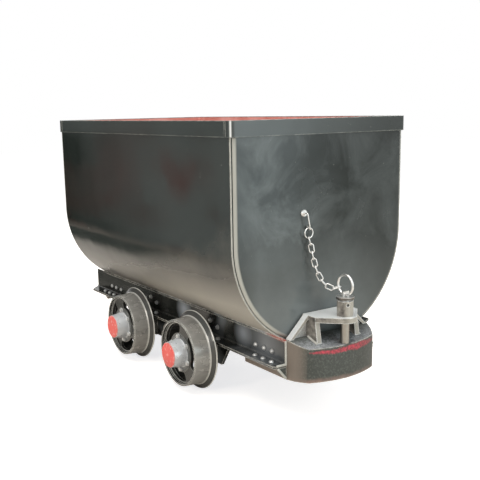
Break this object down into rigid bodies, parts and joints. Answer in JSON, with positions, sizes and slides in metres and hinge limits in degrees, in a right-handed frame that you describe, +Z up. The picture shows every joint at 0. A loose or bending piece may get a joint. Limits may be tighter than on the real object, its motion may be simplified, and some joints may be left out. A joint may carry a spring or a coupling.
{
  "type": "ore cart",
  "caption": "Round-bottomed steel ore cart for narrow-gauge track, with a rim band, spoked flanged wheels, and at each end a cast buffer, a coupling pin in its lug and the pin's chain.",
  "frame": {"origin": "on the floor under the cart's centre, where the wheel flanges stand", "axes": "+X along the cart towards one coupled end, +Y to its left, +Z up"},
  "size_m": [1.922, 0.88, 1.175],
  "materials": {
    "gloss_black_paint": "gloss enamel over rolled steel plate",
    "painted_casting": "enamel over cast steel, worn at the edges",
    "painted_wheel": "enamel over cast steel, worn on the tread",
    "red_paint": "red enamel",
    "bright_steel": "bare zinc-bright steel"
  },
  "bodies": {
    "chassis": {"axle_bracket_front_left": "painted_casting", "axle_bracket_front_right": "painted_casting", "axle_bracket_rear_left": "painted_casting", "axle_bracket_rear_right": "painted_casting", "buffer_front": "painted_casting", "buffer_rear": "painted_casting", "chain_hook_front": "bright_steel", "chain_hook_rear": "bright_steel", "coupler_lug_front": "painted_casting", "coupler_lug_rear": "painted_casting", "coupling_pin_front": "bright_steel", "coupling_pin_rear": "bright_steel", "pin_chain_front": "bright_steel", "pin_chain_rear": "bright_steel", "pin_ring_front": "bright_steel", "pin_ring_rear": "bright_steel", "rail_left": "gloss_black_paint", "rail_right": "gloss_black_paint", "rim_front": "gloss_black_paint", "rim_left": "gloss_black_paint", "rim_rear": "gloss_black_paint", "rim_right": "gloss_black_paint", "tub_end_front": "gloss_black_paint", "tub_end_rear": "gloss_black_paint", "tub_shell": "gloss_black_paint"},
    "wheelset_front": {"axle_front": "bright_steel", "hub_cap_front_left": "red_paint", "hub_cap_front_right": "red_paint", "wheel_front_left": "painted_wheel", "wheel_front_right": "painted_wheel"},
    "wheelset_rear": {"axle_rear": "bright_steel", "hub_cap_rear_left": "red_paint", "hub_cap_rear_right": "red_paint", "wheel_rear_left": "painted_wheel", "wheel_rear_right": "painted_wheel"}
  },
  "joints": [
    {"name": "wheelset_front_spin", "type": "hinge", "parent": "chassis", "child": "wheelset_front", "pos_m": [0.275, 0, 0.175], "axis": [0, 1, 0], "continuous": true},
    {"name": "wheelset_rear_spin", "type": "hinge", "parent": "chassis", "child": "wheelset_rear", "pos_m": [-0.275, 0, 0.175], "axis": [0, 1, 0], "continuous": true}
  ]
}
